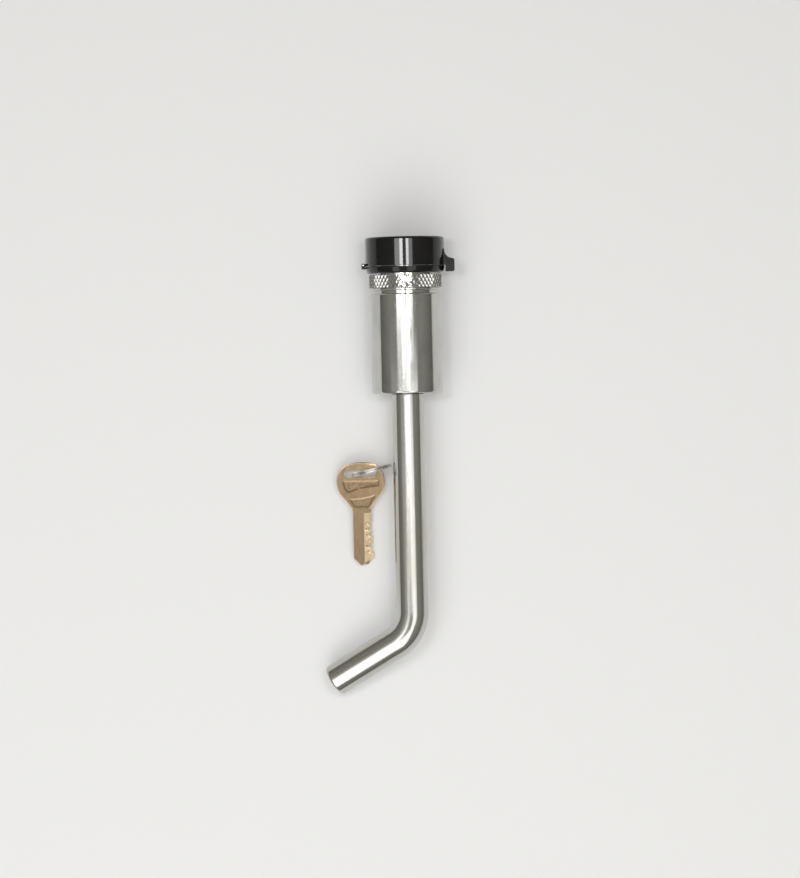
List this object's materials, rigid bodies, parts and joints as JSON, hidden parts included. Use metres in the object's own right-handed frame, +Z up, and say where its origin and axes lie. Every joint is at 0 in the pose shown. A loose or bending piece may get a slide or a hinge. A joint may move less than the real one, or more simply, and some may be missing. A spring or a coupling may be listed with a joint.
{
  "type": "hitch pin lock",
  "caption": "Bent chrome receiver pin with a barrel-shaped keyed lock head, knurled collar and black flip cap, with keys on a split ring.",
  "frame": {"origin": "on the shank's axis, midway between the bend and the barrel's mouth", "axes": "+Y along the shank from the bend to the lock head, +Z up from the surface that the set lies on, +X away from the leg and the keys"},
  "size_m": [0.0678, 0.2258, 0.0394],
  "materials": {
    "chrome_pin": "polished chrome plate over steel, fine drawn lines",
    "chrome_head": "bright chrome plate",
    "black_cap": "glossy black moulded plastic",
    "seal_rubber": "soft black rubber",
    "hardened_steel": "ground hardened steel",
    "zinc_housing": "die-cast zinc, machined face",
    "lock_brass": "machined brass",
    "spring_steel": "bright spring wire",
    "nickel_key": "nickel-plated brass, stamped",
    "ring_steel": "nickel-plated spring steel"
  },
  "bodies": {
    "pin": {"bent_pin": "chrome_pin"},
    "head": {"barrel": "chrome_head", "shank_seal": "seal_rubber", "ball_cage": "hardened_steel", "cage_clip": "spring_steel", "thrust_washer": "lock_brass", "lock_housing": "zinc_housing", "knurled_collar": "chrome_head", "head_dowel": "chrome_head", "cap_seat": "black_cap", "cap_hinge_pin": "ring_steel"},
    "plug": {"lock_plug": "lock_brass", "cam_cup": "hardened_steel", "cam_washer": "hardened_steel", "cam_screw": "hardened_steel", "wafer_springs": "spring_steel"},
    "ball_1": {"ball_1": "hardened_steel"},
    "ball_2": {"ball_2": "hardened_steel"},
    "wafer_1": {"wafer_1": "lock_brass"},
    "wafer_2": {"wafer_2": "lock_brass"},
    "wafer_3": {"wafer_3": "lock_brass"},
    "wafer_4": {"wafer_4": "lock_brass"},
    "wafer_5": {"wafer_5": "lock_brass"},
    "cap": {"flip_cap": "black_cap"},
    "key": {"key": "nickel_key"},
    "spare_key": {"spare_key": "nickel_key"},
    "ring": {"split_ring": "ring_steel"}
  },
  "joints": [
    {"name": "head_slide", "type": "slide", "parent": "pin", "child": "head", "axis": [0, 1, 0], "range_m": [0, 0.1]},
    {"name": "plug_turn", "type": "hinge", "parent": "head", "child": "plug", "pos_m": [0, 0.11, 0], "axis": [0, -1, 0], "range_deg": [0, 90]},
    {"name": "ball_1_slide", "type": "slide", "parent": "head", "child": "ball_1", "axis": [-1, 0, 0], "range_m": [0, 0.00151]},
    {"name": "ball_2_slide", "type": "slide", "parent": "head", "child": "ball_2", "axis": [1, 0, 0], "range_m": [0, 0.00151]},
    {"name": "wafer_1_slide", "type": "slide", "parent": "plug", "child": "wafer_1", "axis": [0, 0, -1], "range_m": [0, 0.0012], "deforming": ["wafer_springs"]},
    {"name": "wafer_2_slide", "type": "slide", "parent": "plug", "child": "wafer_2", "axis": [0, 0, -1], "range_m": [0, 0.0012]},
    {"name": "wafer_3_slide", "type": "slide", "parent": "plug", "child": "wafer_3", "axis": [0, 0, -1], "range_m": [0, 0.0012]},
    {"name": "wafer_4_slide", "type": "slide", "parent": "plug", "child": "wafer_4", "axis": [0, 0, -1], "range_m": [0, 0.0012]},
    {"name": "wafer_5_slide", "type": "slide", "parent": "plug", "child": "wafer_5", "axis": [0, 0, -1], "range_m": [0, 0.0012]},
    {"name": "cap_flip", "type": "hinge", "parent": "head", "child": "cap", "pos_m": [-0.02065, 0.11785, 0], "axis": [0, 0, 1], "range_deg": [0, 115]},
    {"name": "keys_lift", "type": "slide", "parent": "pin", "child": "key", "axis": [-0.5, 0, 0.866], "range_m": [0, 0.08]},
    {"name": "spare_key_swing", "type": "hinge", "parent": "key", "child": "spare_key", "pos_m": [-0.0262, 0.01459, -0.01656], "axis": [0, -0.0698, 0.9976], "range_deg": [-3, 6]},
    {"name": "ring_turn", "type": "hinge", "parent": "key", "child": "ring", "pos_m": [-0.0186, 0.01645, -0.0094], "axis": [-0.2385, 0.9711, 0], "continuous": true}
  ],
  "couplings": [
    {"joint": "ball_1_slide", "follows": "plug_turn", "m_per_rad": 0.00095493},
    {"joint": "ball_2_slide", "follows": "plug_turn", "m_per_rad": 0.00095493},
    {"joint": "wafer_2_slide", "follows": "wafer_1_slide", "ratio": 0.9},
    {"joint": "wafer_3_slide", "follows": "wafer_1_slide", "ratio": 1},
    {"joint": "wafer_4_slide", "follows": "wafer_1_slide", "ratio": 0.8},
    {"joint": "wafer_5_slide", "follows": "wafer_1_slide", "ratio": 0.7}
  ]
}
